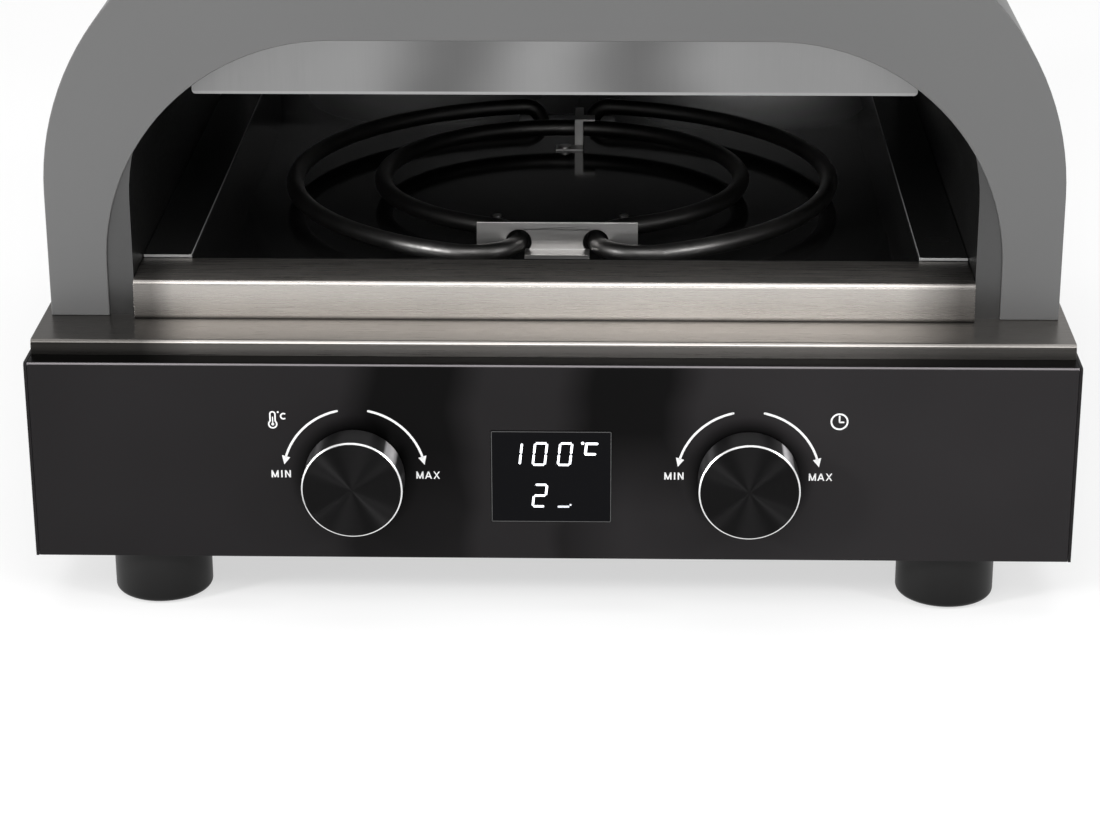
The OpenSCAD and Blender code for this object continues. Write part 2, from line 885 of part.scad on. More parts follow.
// Butt-welded ends of two tubes, met inside a thin bead that lies along plan direction a
module tube_bead(x, y, a) {
  at(x, y, tube_z)
    rotate([0, 0, a])
      rotate([0, 90, 0])
        translate([0, 0, -1])
          cylinder(h = 2, r = tube_r + 0.12);
}

module half_lower_heater() {
  at(0, ring_y, tube_z)
    rotate([0, 0, turn_side]) {
      tube_arc(ring_outer, -90, leg_turn - turn_side);
      tube_arc(ring_inner, -90, 89.9 - turn_side);
      translate([0, -turn_mid, 0]) tube_arc(turn_r, 90, 270);
    }
  at(leg_start[0], leg_start[1], tube_z - leg_bend)
    rotate([0, 0, leg_turn + 90]) {
      rotate([90, 0, 0]) tube_arc(leg_bend, 0, 89);
      translate([leg_bend, 0, leg_bend - tube_rise - leg_len])
        cylinder(h = tube_rise + leg_len - leg_bend, r = tube_r);
    }
  tube_bead(leg_start[0], leg_start[1], leg_turn + 90);
}

module lower_heater() {
  color([0.25, 0.25, 0.25]) {
    half_lower_heater();
    mirror([1, 0, 0]) half_lower_heater();
    tube_bead(0, ring_y + ring_inner, 0);
  }
}

// Ceramic beads with their pins on the ends of the lower heater
bead_h = 8;
pin_h = 2;
pin_r = 2;

module heater_insulators() {
  end = well_floor - leg_len;
  color([0.92, 0.9, 0.85])
    for (s = [-1, 1]) {
      rod_z(s * leg_mid[0], leg_mid[1], end - bead_h, end, tube_r + 1);
      rod_z(s * leg_mid[0], leg_mid[1], end - bead_h - pin_h, end - bead_h, pin_r);
    }
}

// Plate that ties the lower heater's legs to the well's underside
module terminal_plate() {
  color([0.7, 0.7, 0.7])
    difference() {
      block(
        [-slot_w / 2 - plate_margin, slot_y0 - plate_margin, well_floor - well_t - plate_t],
        [slot_w / 2 + plate_margin, slot_y1 + plate_margin, well_floor - well_t]
      );
      for (s = [-1, 1]) {
        rod_z(s * leg_mid[0], leg_mid[1], well_floor - well_t - 2 * plate_t, well_floor, tube_r + 0.1);
      }
    }
}

// Front bracket with two round notches, standing on a channel foot
module heater_bracket() {
  plate_y = ring_y - turn_mid + bracket_back;
  top = rest_top - bracket_drop;
  notch_z = tube_z + 1;
  foot_top = tube_z - 2.5;
  lug_z = tube_z - 1.3;
  foot_d = 8;
  color([0.6, 0.6, 0.6])
    union() {
      along_y(plate_y, plate_y + bracket_t)
        difference() {
          union() {
            translate([-bracket_w / 2, lug_z]) square([bracket_w, top - lug_z]);
            translate([-leg_plate_w / 2, foot_top - bracket_t]) square([leg_plate_w, top - foot_top]);
          }
          for (s = [-1, 1]) {
            translate([s * turn_gap, notch_z]) circle(d = notch_d);
            translate([s > 0 ? leg_plate_w / 2 : -turn_gap - notch_d / 2, foot_top - 3])
              square([turn_gap + notch_d / 2 - leg_plate_w / 2, notch_z - foot_top + 3]);
          }
        }
      block(
        [-leg_plate_w / 2, plate_y - foot_d, foot_top - bracket_t],
        [leg_plate_w / 2, plate_y + bracket_t, foot_top]
      );
      block(
        [-leg_plate_w / 2, plate_y - foot_d, well_floor],
        [leg_plate_w / 2, plate_y - foot_d + bracket_t, foot_top - bracket_t / 2]
      );
    }
}

// Strap that bridges the inner ring at the rear
strap_x = 4.8;
strap_w = 4.2;
strap_t = 1;
strap_gap = 0.6;
strap_foot = 7;
strap_foot_x = -4.5;
strap_tab = 10;
strap_reach = 14;
strap_y = ring_y + ring_inner - tube_r - strap_gap - strap_t;

module rear_strap() {
  over = tube_z + tube_r + strap_gap;
  behind = strap_y + strap_t + tube_d + strap_reach;
  color([0.35, 0.35, 0.35])
    union() {
      block([strap_x, strap_y, well_floor], [strap_x + strap_w, strap_y + strap_t, over + strap_t]);
      block(
        [strap_foot_x, strap_y - strap_foot, well_floor],
        [strap_x + strap_w, strap_y + strap_t, well_floor + strap_t]
      );
      block([strap_x, strap_y, over], [strap_x + strap_tab, strap_y + tube_d + strap_t, over + strap_t]);
      block([strap_x, strap_y, over], [strap_x + strap_w, behind, over + strap_t]);
      block([strap_x, behind - strap_t, well_floor], [strap_x + strap_w, behind, over + strap_t]);
    }
}

// Round heads on the well's floor, and the strap's own rivet
rivet_x = 29.4;
rivet_front = 37.3;
rivet_r = 2;
strap_rivet_r = 3;
rivet_h = 1;

module well_rivets() {
  color([0.6, 0.6, 0.6]) {
    for (s = [-1, 1]) {
      rod_z(s * rivet_x, ring_y - rivet_front, well_floor, well_floor + rivet_h, rivet_r);
    }
    rod_z(0, strap_y - strap_foot / 2, well_floor + strap_t, well_floor + strap_t + rivet_h, strap_rivet_r);
  }
}

// Snap-action cut-out under the insulation tray
cutout_x = 60;
cutout_y = 197;
cutout_r = 9;
cutout_h = 8;
cutout_ear = 3;

module thermal_cutout() {
  color([0.8, 0.78, 0.72])
    union() {
      rod_z(cutout_x, cutout_y, tray_z - cutout_h, tray_z, cutout_r);
      block(
        [cutout_x - cutout_r - cutout_ear, cutout_y - cutout_r / 2, tray_z - cutout_ear],
        [cutout_x + cutout_r + cutout_ear, cutout_y + cutout_r / 2, tray_z]
      );
    }
}

// Black cavity liner: arched tunnel with a rear wall and a front flange behind the hood's face
liner_front = hood_y + base_t + fit_gap;
flange_side = 16;
flange_up = 10;

module cavity_liner() {
  color([0.05, 0.05, 0.05])
    difference() {
      union() {
        along_y(liner_front, cavity_back + liner_t)
          arch(cavity_half + liner_t, deck_top, ceiling + liner_t, cavity_r + liner_t);
        along_y(liner_front, liner_front + liner_t)
          arch(cavity_half + flange_side, deck_top, ceiling + flange_up, cavity_r + flange_up);
      }
      along_y(liner_front - 1, cavity_back) arch(cavity_half, deck_top - 1, ceiling, cavity_r);
      for (s = [-1, 1]) {
        rod_y(s * upper_lead, upper_z, cavity_back - 1, cavity_back + 3, tube_r + 0.2);
      }
      rod_y(probe_x, probe_z, cavity_back - 1, cavity_back + 3, probe_d / 2 + 0.1);
    }
}

probe_d = 5;
probe_x = 95;
probe_drop = 30;
probe_z = ceiling - probe_drop;
probe_in = 12;
probe_out = 6;
probe_flange = 3;

module temperature_probe() {
  color([0.7, 0.7, 0.72])
    union() {
      rod_y(probe_x, probe_z, cavity_back - probe_in, cavity_back + liner_t + probe_out, probe_d / 2);
      rod_y(
        probe_x, probe_z,
        cavity_back + liner_t, cavity_back + liner_t + probe_flange, probe_d / 2 + probe_flange
      );
    }
}

// Upper heater: one wide loop under the ceiling, with two straight leads through the rear wall
upper_z = ceiling - upper_drop;
upper_lead = 26;
upper_front = 50;
upper_rear = 24;
upper_y0 = baffle_y + upper_front;
upper_y1 = cavity_back - upper_rear;
shoulder = upper_z + tube_r - ceiling + cavity_r;
upper_half = cavity_half - cavity_r + sqrt(cavity_r * cavity_r - shoulder * shoulder) - upper_gap - tube_r;

// Quarter bend centred at x, y, from angle a0
module upper_corner(x, y, a0) {
  at(x, y, upper_z)
    rotate([0, 0, a0])
      rotate_extrude(angle = 90, $fn = 64)
        translate([upper_bend, 0])
          circle(tube_r, $fn = 32);
}

// Straight tube along X
module tube_x(x0, x1, y) {
  at(x0, y, upper_z) rotate([0, 90, 0]) cylinder(h = x1 - x0, r = tube_r, $fn = 32);
}

module half_upper_heater() {
  side = upper_half;
  tube_x(0, side - upper_bend, upper_y0);
  upper_corner(side - upper_bend, upper_y0 + upper_bend, -90);
  at(side, upper_y1 - upper_bend, upper_z)
    rotate([90, 0, 0]) cylinder(h = upper_y1 - upper_y0 - 2 * upper_bend, r = tube_r, $fn = 32);
  upper_corner(side - upper_bend, upper_y1 - upper_bend, 0);
  tube_x(upper_lead + upper_bend, side - upper_bend, upper_y1);
  upper_corner(upper_lead + upper_bend, upper_y1 + upper_bend, 180);
  rod_y(upper_lead, upper_z, upper_y1 + upper_bend, passage_y + passage_d / 2 + 3, tube_r);
}

module upper_heater() {
  color([0.25, 0.25, 0.25]) {
    half_upper_heater();
    mirror([1, 0, 0]) half_upper_heater();
  }
}

// Hooks that hang the upper heater from the ceiling
module upper_hangers() {
  hook_t = 1;
  hook_gap = 0.5;
  low = upper_z - tube_r - fit_gap;
  top = ceiling - fit_gap;
  color([0.6, 0.6, 0.6])
    for (s = [-1, 1]) {
      for (y = [upper_y0, upper_y1]) {
        x0 = s * (upper_half - hanger_in) - hanger_w / 2;
        y0 = y - tube_r - hook_gap - hook_t;
        union() {
          block([x0, y0, low - hook_t], [x0 + hanger_w, y0 + hook_t, top]);
          block([x0, y0, low - hook_t], [x0 + hanger_w, y + tube_r, low]);
          block([x0, y0, top - hook_t], [x0 + hanger_w, y + tube_r, top]);
        }
      }
    }
}

// Blanket between the liner and the hood, with the wiring passage cut in its rear
module hood_insulation() {
  in = hood_t + blanket_gap;
  over = liner_t + blanket_gap;
  rear = hood_back - base_t - blanket_gap;
  color([0.9, 0.88, 0.82])
    difference() {
      along_y(liner_front + liner_t + blanket_gap, rear)
        arch(hood_half - in, deck_top + fit_gap, hood_z - in, hood_r - in);
      along_y(liner_front, cavity_back + over)
        arch(cavity_half + over, deck_top - 1, ceiling + over, cavity_r + over);
      block(
        [-passage_w / 2, passage_y - 1, deck_top - 1],
        [passage_w / 2, rear + 1, upper_z + passage_over]
      );
      for (s = [-1, 1]) {
        rod_y(s * upper_lead, upper_z, cavity_back, passage_y + 1, tube_r + 0.5);
      }
      rod_y(
        probe_x, probe_z,
        cavity_back, cavity_back + liner_t + 2 * probe_out, probe_d / 2 + probe_flange + 0.5
      );
    }
}

// Steel baffle behind the mouth's top edge, hemmed along its lower edge
module baffle() {
  hem = 5;
  r = 1.6;
  low = deck_top + baffle_z;
  color([0.66, 0.66, 0.66])
    union() {
      along_y(baffle_y, baffle_y + steel_t)
        intersection() {
          arch(cavity_half - fit_gap, deck_top, ceiling - fit_gap, cavity_r - fit_gap);
          union() {
            translate([r - baffle_half, low]) square([2 * (baffle_half - r), cavity_h]);
            translate([-baffle_half, low + r]) square([2 * baffle_half, cavity_h]);
            for (s = [-1, 1]) {
              translate([s * (baffle_half - r), low + r]) circle(r);
            }
          }
        }
      block([r - baffle_half, baffle_y, low], [baffle_half - r, baffle_y + 2 * steel_t, low + hem]);
      block(
        [cavity_r - cavity_half, baffle_y, ceiling - fit_gap - steel_t],
        [cavity_half - cavity_r, baffle_y + baffle_flange, ceiling - fit_gap]
      );
    }
}

module hood_front() {
  color([0.45, 0.45, 0.45])
    difference() {
      along_y(hood_y, hood_y + base_t) arch(hood_half, deck_top, hood_z, hood_r);
      along_y(hood_y - 1, hood_y + base_t + 1) arch(mouth_half, deck_top - 1, mouth_top, mouth_r);
    }
}

hood_rear_flange = 14;
screw_in = 8;
screw_low = 14;
screw_high = 52;
screw_side = 60;
rear_screw_places = [
  for (s = [-1, 1])
    for (p = [
      [hood_half - screw_in, deck_top + screw_low],
      [hood_half - screw_in, deck_top + screw_high],
      [screw_side, hood_z - screw_in]
    ])
      [s * p[0], p[1]]
];

module hood_shell() {
  color([0.45, 0.45, 0.45])
    difference() {
      along_y(hood_y + base_t, hood_back) arch(hood_half, deck_top, hood_z, hood_r);
      along_y(hood_y, hood_back - base_t)
        arch(hood_half - hood_t, deck_top - 1, hood_z - hood_t, hood_r - hood_t);
      along_y(hood_y, hood_back + 1)
        arch(
          hood_half - hood_rear_flange, deck_top - 1, hood_z - hood_rear_flange, hood_r - hood_rear_flange
        );
      for (p = rear_screw_places) {
        rod_y(p[0], p[1], hood_back - base_t - 1, hood_back + 1, screw_d / 2 + 0.1);
      }
    }
}

hood_vent_z = 20;

module hood_rear() {
  color([0.4, 0.4, 0.4])
    difference() {
      along_y(hood_back, hood_back + base_t) arch(hood_half, deck_top, hood_z, hood_r);
      along_y(hood_back - 1, hood_back + base_t + 1) slots(0, deck_top + hood_vent_z, vent_l);
      for (p = rear_screw_places) {
        rod_y(p[0], p[1], hood_back - 1, hood_back + base_t + 1, screw_d / 2 + 0.2);
      }
    }
}

module rear_screws() {
  y = hood_back + base_t;
  color([0.5, 0.5, 0.52])
    for (p = rear_screw_places) {
      rod_y(p[0], p[1], y, y + 1.8, 2.8);
      rod_y(p[0], p[1], hood_back - base_t - 0.3, y + 1, screw_d / 2);
    }
}

foot(-foot_x, foot_y);  // foot_front_left
foot(foot_x, foot_y);  // foot_front_right
foot(-foot_x, base_d - foot_rear);  // foot_rear_left
foot(foot_x, base_d - foot_rear);  // foot_rear_right
foot_pads();
foot_screws();
bottom_cover();
bottom_screws();
base_shell();
control_panel();
display_window();
display_module();
control_board();
board_standoffs();
encoder(-1);  // encoder_left
encoder(1);  // encoder_right
encoder_nuts();
encoder_shaft(-1);  // encoder_shaft_left
encoder_shaft(1);  // encoder_shaft_right
knob_core(-1);  // knob_core_left
knob_core(1);  // knob_core_right
knob(-1);  // knob_left
knob(1);  // knob_right
relay_board();
board_parts();
relay_standoffs();
terminal_block();
internal_wires();
cable_gland();
gland_nut();
insulation_tray();
lower_insulation();
deck_plate();
landing();
heater_well();
stone_rest(-1);  // stone_rest_left
stone_rest(1);  // stone_rest_right
lower_heater();
heater_bracket();
rear_strap();
well_rivets();
terminal_plate();
heater_insulators();
thermal_cutout();
cavity_liner();
temperature_probe();
upper_heater();
upper_hangers();
hood_insulation();
baffle();
hood_front();
hood_shell();
hood_rear();
rear_screws();
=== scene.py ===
import math

import bpy
from mathutils import Matrix, Vector


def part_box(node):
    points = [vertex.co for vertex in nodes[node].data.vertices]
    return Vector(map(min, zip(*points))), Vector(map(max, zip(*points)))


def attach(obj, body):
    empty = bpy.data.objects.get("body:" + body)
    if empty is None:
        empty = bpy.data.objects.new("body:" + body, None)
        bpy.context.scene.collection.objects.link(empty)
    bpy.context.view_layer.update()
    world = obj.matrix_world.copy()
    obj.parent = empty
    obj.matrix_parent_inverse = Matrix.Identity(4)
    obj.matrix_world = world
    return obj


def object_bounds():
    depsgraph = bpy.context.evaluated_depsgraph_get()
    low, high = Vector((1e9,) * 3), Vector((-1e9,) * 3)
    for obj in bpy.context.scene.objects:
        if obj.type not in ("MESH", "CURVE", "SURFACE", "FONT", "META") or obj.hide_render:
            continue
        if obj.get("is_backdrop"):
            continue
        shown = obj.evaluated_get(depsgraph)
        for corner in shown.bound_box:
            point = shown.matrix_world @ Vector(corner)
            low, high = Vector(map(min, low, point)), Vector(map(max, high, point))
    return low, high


# Electric pizza maker: an arched grey hood on a low black base with two knobs and a display.
# Sizes of printed marks are in millimetres. What shaders and lights are given is in metres.
MM = 0.001

# Control panel's front face, and the knobs' axes, radius and reach from that face
PANEL_Y = -226.6
KNOB_X = 80.9
KNOB_Z = 61.6
KNOB_R = 20.7
KNOB_REACH = 15.8

# Camera: turn, tilt and roll in radians, and the eye in millimetres
YAW = 0.02509
PITCH = 0.36923
ROLL = -0.00315
EYE = (27.93, PANEL_Y - 1130.65, 528.03)


def add_object(name, data):
    thing = bpy.data.objects.new(name, data)
    bpy.context.scene.collection.objects.link(thing)
    return thing


camera_data = bpy.data.cameras.new("camera")
camera_data.sensor_fit = "HORIZONTAL"
camera_data.sensor_width = 36.0
camera_data.lens = 97.33
camera_data.clip_start = 0.05
camera_data.clip_end = 100.0
camera = add_object("camera", camera_data)
forward = Vector(
    (-math.sin(YAW) * math.cos(PITCH), math.cos(YAW) * math.cos(PITCH), -math.sin(PITCH))
)
level = Vector((math.cos(YAW), math.sin(YAW), 0.0))
up = level.cross(forward)
right = level * math.cos(ROLL) + up * math.sin(ROLL)
up = up * math.cos(ROLL) - level * math.sin(ROLL)
axes = Matrix((right, up, -forward)).transposed().to_4x4()
camera.matrix_world = Matrix.Translation(Vector(EYE) * MM) @ axes
bpy.context.scene.camera = camera

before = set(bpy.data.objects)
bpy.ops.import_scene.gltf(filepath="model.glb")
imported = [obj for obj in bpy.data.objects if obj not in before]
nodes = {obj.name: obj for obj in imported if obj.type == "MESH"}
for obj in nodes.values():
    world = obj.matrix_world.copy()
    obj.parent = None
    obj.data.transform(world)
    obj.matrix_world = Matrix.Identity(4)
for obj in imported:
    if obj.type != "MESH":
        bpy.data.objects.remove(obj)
size_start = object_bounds()
bpy.context.scene.view_settings.view_transform = "Standard"

# Part of a noise texture's range that it mostly fills
NOISE_LOW = 0.3
NOISE_HIGH = 0.7


# Shader nodes
def first_node(tree, kind):
    return next(n for n in tree.nodes if n.type == kind)


def new_material(name):
    material = bpy.data.materials.new(name)
    material.use_nodes = True
    tree = material.node_tree
    return material, tree, first_node(tree, "BSDF_PRINCIPLED")


def math_node(tree, operation, a, b=0.0):
    """Result of an operation on numbers or on other nodes' outputs."""
    node = tree.nodes.new("ShaderNodeMath")
    node.operation = operation
    for socket, value in zip(node.inputs, (a, b)):
        if isinstance(value, float):
            socket.default_value = value
        else:
            tree.links.new(value, socket)
    return node.outputs["Value"]


def vector_node(tree, operation, vector, other=None):
    """Node whose result is its Vector or its Value output, as its operation has it."""
    node = tree.nodes.new("ShaderNodeVectorMath")
    node.operation = operation
    tree.links.new(vector, node.inputs[0])
    if other is not None:
        node.inputs[1].default_value = other
    return node


def ramp(tree, value, start, end, low, high):
    """Straight ramp from low at start to high at end, held level outside them."""
    node = tree.nodes.new("ShaderNodeMapRange")
    node.inputs["From Min"].default_value = start
    node.inputs["From Max"].default_value = end
    node.inputs["To Min"].default_value = low
    node.inputs["To Max"].default_value = high
    tree.links.new(value, node.inputs["Value"])
    return node.outputs["Result"]


def split(tree, vector):
    """Outputs X, Y and Z of a vector."""
    node = tree.nodes.new("ShaderNodeSeparateXYZ")
    tree.links.new(vector, node.inputs["Vector"])
    return node.outputs


def object_point(tree):
    """Point on the surface, in the object's own metres."""
    return tree.nodes.new("ShaderNodeTexCoord").outputs["Object"]


def place(tree, axis):
    """Position along an axis in the object's own metres."""
    return split(tree, object_point(tree))[axis]


def normal(tree, kind="True Normal"):
    return tree.nodes.new("ShaderNodeNewGeometry").outputs[kind]


def facing(tree, axis, low, high):
    """0 to 1 as the surface turns towards an axis, between two parts of its normal."""
    return ramp(tree, split(tree, normal(tree))[axis], low, high, 0.0, 1.0)


def axis_distance(tree, centre_x, centre_z):
    """Distance from a line along Y, and the position along it, in object coordinates."""
    point = split(tree, object_point(tree))
    flat = tree.nodes.new("ShaderNodeCombineXYZ")
    for axis, centre in (("X", centre_x), ("Z", centre_z)):
        shift = math_node(tree, "SUBTRACT", point[axis], centre)
        tree.links.new(shift, flat.inputs[axis])
    length = vector_node(tree, "LENGTH", flat.outputs["Vector"])
    return length.outputs["Value"], point["Y"]


def even(value):
    """Three equal values, for a grey or for the same scale along every axis."""
    return (value, value, value)


def noise(tree, scale, detail=3.0, rough=0.55):
    mapping = tree.nodes.new("ShaderNodeMapping")
    mapping.inputs["Scale"].default_value = scale
    tree.links.new(object_point(tree), mapping.inputs["Vector"])
    texture = tree.nodes.new("ShaderNodeTexNoise")
    texture.inputs["Scale"].default_value = 1.0
    texture.inputs["Detail"].default_value = detail
    texture.inputs["Roughness"].default_value = rough
    tree.links.new(mapping.outputs["Vector"], texture.inputs["Vector"])
    return texture.outputs["Fac"]


def spread(tree, value, low, high):
    """Noise stretched between two levels."""
    return ramp(tree, value, NOISE_LOW, NOISE_HIGH, low, high)


def two_tone(tree, value, dark, light):
    """Noise turned into colours between a dark and a light one."""
    node = tree.nodes.new("ShaderNodeValToRGB")
    stops = node.color_ramp.elements
    for stop, position, colour in zip(stops, (NOISE_LOW, NOISE_HIGH), (dark, light)):
        stop.position = position
        stop.color = (*colour, 1.0)
    tree.links.new(value, node.inputs["Fac"])
    return node.outputs["Color"]


def tinted(colour, share):
    return tuple(max(0.0, min(1.0, c * share)) for c in colour)


def bump(tree, shader, value, strength, distance):
    node = tree.nodes.new("ShaderNodeBump")
    node.inputs["Strength"].default_value = strength
    node.inputs["Distance"].default_value = distance
    tree.links.new(value, node.inputs["Height"])
    tree.links.new(node.outputs["Normal"], shader.inputs["Normal"])


def drifting_colour(tree, shader, colour, vary, scale):
    """Base colour that drifts slowly about its mean; returns the noise that moves it."""
    wide = noise(tree, scale, 2.0)
    tones = two_tone(tree, wide, tinted(colour, 1 - vary), tinted(colour, 1 + vary))
    tree.links.new(tones, shader.inputs["Base Color"])
    return wide


def lay_over(tree, share, base, cover):
    """Mix a second shader over the first by a share, as the material's surface."""
    mix = tree.nodes.new("ShaderNodeMixShader")
    tree.links.new(share, mix.inputs["Fac"])
    tree.links.new(base, mix.inputs[1])
    tree.links.new(cover, mix.inputs[2])
    output = first_node(tree, "OUTPUT_MATERIAL")
    tree.links.new(mix.outputs["Shader"], output.inputs["Surface"])


# Kinds of finish
def paint(name, colour, rough, gloss=0.5, grain=1800.0, depth=0.00002, vary=0.08):
    """Coat with a fine grain, or any dull solid; depth is the grain's, in metres."""
    material, tree, shader = new_material(name)
    shader.inputs["Specular IOR Level"].default_value = gloss
    wide = drifting_colour(tree, shader, colour, vary, even(9.0))
    tree.links.new(spread(tree, wide, rough * 0.92, rough * 1.08), shader.inputs["Roughness"])
    bump(tree, shader, noise(tree, even(grain), 2.0), 0.25, depth)
    return material


def brushed(tree, shader, along, share):
    """Spread highlights across brush lines that run along an axis."""
    shader.inputs["Anisotropic"].default_value = share
    across = vector_node(tree, "CROSS_PRODUCT", normal(tree, "Normal"), along)
    tree.links.new(across.outputs["Vector"], shader.inputs["Tangent"])


def metal(
    name, colour, rough, grain, vary=0.06, drift=8.0, depth=0.00001, along=None, share=0.9
):
    """Bare metal with a grain of its own scale per axis, brushed along an axis if one is given."""
    material, tree, shader = new_material(name)
    shader.inputs["Metallic"].default_value = 1.0
    if along:
        brushed(tree, shader, along, share)
    fine = noise(tree, grain, 4.0, 0.7)
    drifting_colour(tree, shader, colour, vary, even(drift))
    tree.links.new(spread(tree, fine, rough * 0.85, rough * 1.15), shader.inputs["Roughness"])
    bump(tree, shader, fine, 0.2, depth)
    return material


def glow(name, colour, strength):
    """Ink or lit segment that stands out from a black ground; the segments are lit, and the ink's
    glow is painted light.
    """
    material, tree, shader = new_material(name)
    shader.inputs["Base Color"].default_value = (*tinted(colour, 0.6), 1.0)
    shader.inputs["Roughness"].default_value = 0.4
    shader.inputs["Emission Strength"].default_value = strength
    speck = noise(tree, even(900.0), 1.0)
    tones = two_tone(tree, speck, tinted(colour, 0.96), colour)
    tree.links.new(tones, shader.inputs["Emission Color"])
    return material


# Changes of colour over one surface, most of them painted light and shade
def scale_colour(material, factor):
    tree = material.node_tree
    base = first_node(tree, "BSDF_PRINCIPLED").inputs["Base Color"]
    scaled = vector_node(tree, "SCALE", base.links[0].from_socket)
    tree.links.new(factor, scaled.inputs["Scale"])
    tree.links.new(scaled.outputs["Vector"], base)


def shade_height(material, bottom, top, low, high):
    """Colour share that goes from low to high between two heights, used for painted shade."""
    tree = material.node_tree
    scale_colour(material, ramp(tree, place(tree, "Z"), bottom, top, low, high))


def shade_ends(material, left_end, right_end):
    """Painted shade along X: each end as two positions and the colour share at the outer one."""
    tree = material.node_tree
    for outer, inner, share in (left_end, right_end):
        scale_colour(material, ramp(tree, place(tree, "X"), outer, inner, share, 1.0))


def reflection_bands(tree, centre, pitch, ground, stripe, wobble=0.012, crisp=1.0):
    """Painted reflections as soft upright bands on an even ground, half a pitch to each side of a
    centre along X.
    """
    drift = spread(tree, noise(tree, (3.0, 3.0, 11.0)), -wobble, wobble)
    along = math_node(tree, "ADD", place(tree, "X"), drift)
    turn = ramp(tree, along, centre - pitch, centre + pitch, -2 * math.pi, 2 * math.pi)
    return ramp(tree, math_node(tree, "COSINE", turn), -crisp, crisp, stripe, ground)


def bare_and_highlit_edges(tree, share, sharp=0.94):
    """Share on the narrow faces of bends and cut edges, which lie between the main directions: a
    painted highlight, with bare metal too at cut edges.
    """
    parts = split(tree, normal(tree))
    largest = math_node(tree, "ABSOLUTE", parts["X"])
    for axis in ("Y", "Z"):
        size = math_node(tree, "ABSOLUTE", parts[axis])
        largest = math_node(tree, "MAXIMUM", largest, size)
    return ramp(tree, largest, sharp, sharp + 0.04, share, 0.0)


def shade_panel(material, top):
    """Painted reflections and lighter foot, painted shade round the knobs and on the top, a painted
    top-edge highlight.
    """
    tree = material.node_tree
    dull = reflection_bands(
        tree, centre=-0.015, pitch=0.090, ground=1.0, stripe=0.17, wobble=0.008, crisp=0.5
    )
    rightward = ramp(tree, place(tree, "X"), start=0.03, end=0.11, low=1.0, high=1.4)
    dull = math_node(tree, "MULTIPLY", dull, rightward)
    # Painted light: the lower middle of the panel lighter
    foot_light = ramp(tree, place(tree, "Z"), start=0.045, end=0.088, low=1.0, high=0.0)
    sideways = ramp(tree, place(tree, "X"), start=0.0, end=0.03, low=0.5, high=1.15)
    foot_light = math_node(tree, "MULTIPLY", foot_light, sideways)
    dull = math_node(tree, "MAXIMUM", dull, foot_light)
    # Painted shade: contact shade round each knob
    for x in (-KNOB_X, KNOB_X):
        from_knob = axis_distance(tree, x * MM, KNOB_Z * MM)[0]
        contact = ramp(tree, from_knob, start=0.0200, end=0.0270, low=0.05, high=1.0)
        dull = math_node(tree, "MULTIPLY", dull, contact)
    # Painted shade: the top face nearly black
    top_face = ramp(tree, facing(tree, "Z", 0.9, 0.97), start=0.0, end=1.0, low=1.0, high=0.04)
    dull = math_node(tree, "MULTIPLY", dull, top_face)
    # Painted highlight along the top edge's bend
    near_top = ramp(tree, place(tree, "Z"), top - 0.0016, top - 0.0014, low=0.0, high=1.0)
    edge = math_node(tree, "MULTIPLY", bare_and_highlit_edges(tree, share=15.0, sharp=0.86), near_top)
    scale_colour(material, math_node(tree, "MAXIMUM", dull, edge))


def shade_baffle(material, baffle_foot):
    """Painted soft reflections along the sheet, and a painted highlight on the hem at its foot."""
    tree = material.node_tree
    hem = 0.0013
    hem_highlight = ramp(
        tree, place(tree, "Z"), baffle_foot + hem * 0.9, baffle_foot + hem, low=1.3, high=0.0
    )
    painted_reflections = reflection_bands(tree, centre=-0.006, pitch=0.080, ground=0.97, stripe=0.5)
    scale_colour(material, math_node(tree, "MAXIMUM", painted_reflections, hem_highlight))


def shade_deck(material, face_foot, deck_top):
    """Painted shade and highlight: a dark front face under a painted highlight on the bend, and both
    ends darker.
    """
    tree = material.node_tree
    face = ramp(tree, place(tree, "Z"), face_foot, deck_top - 0.0008, low=0.43, high=0.145)
    top = ramp(tree, facing(tree, "Y", -0.95, -0.6), start=0.0, end=1.0, low=0.0, high=0.86)
    # Painted highlight on the front bend
    bend = bare_and_highlit_edges(tree, share=0.92, sharp=0.9)
    step = math_node(tree, "MAXIMUM", math_node(tree, "MAXIMUM", face, top), bend)
    scale_colour(material, step)
    # Painted shade at both ends of the step
    shade_ends(material, (-0.168, -0.146, 0.25), (0.168, 0.115, 0.5))


def shade_landing(material, low_corner, high_corner):
    """Painted shade on the foot and ends, and a painted reflection that makes the top lighter at its
    front edge.
    """
    tree = material.node_tree
    foot = low_corner[2]
    back = high_corner[1]
    shade_height(material, foot + 0.0004, foot + 0.0018, low=0.12, high=1.0)
    shade_ends(material, (-0.167, -0.158, 0.5), (0.169, 0.145, 0.3))
    rearward = ramp(tree, place(tree, "Y"), back - 0.022, back - 0.003, low=1.45, high=0.95)
    upper = facing(tree, "Y", -0.9, -0.6)
    front = math_node(tree, "MULTIPLY", math_node(tree, "SUBTRACT", 1.0, upper), 0.8)
    top = math_node(tree, "MULTIPLY", upper, rearward)
    scale_colour(material, math_node(tree, "ADD", front, top))


def shade_rests(material, rest_top, inner_edge):
    """Lighter cut front ends and inner edges: bare metal, brightened as a painted highlight."""
    tree = material.node_tree
    cut_end = math_node(tree, "SUBTRACT", 1.0, facing(tree, "Y", -0.9, -0.7))
    near_top = ramp(
        tree, place(tree, "Z"), rest_top - 0.0013, rest_top - 0.0011, low=0.0, high=34.0
    )
    cut_share = math_node(tree, "MULTIPLY", cut_end, near_top)
    from_middle = math_node(tree, "ABSOLUTE", place(tree, "X"))
    inner = ramp(
        tree, from_middle, inner_edge + 0.0012, inner_edge + 0.0014, low=1.0, high=0.0
    )
    edge = math_node(tree, "MULTIPLY", bare_and_highlit_edges(tree, share=26.0), inner)
    edge = math_node(tree, "MAXIMUM", edge, 1.0)
    scale_colour(material, math_node(tree, "MAXIMUM", cut_share, edge))


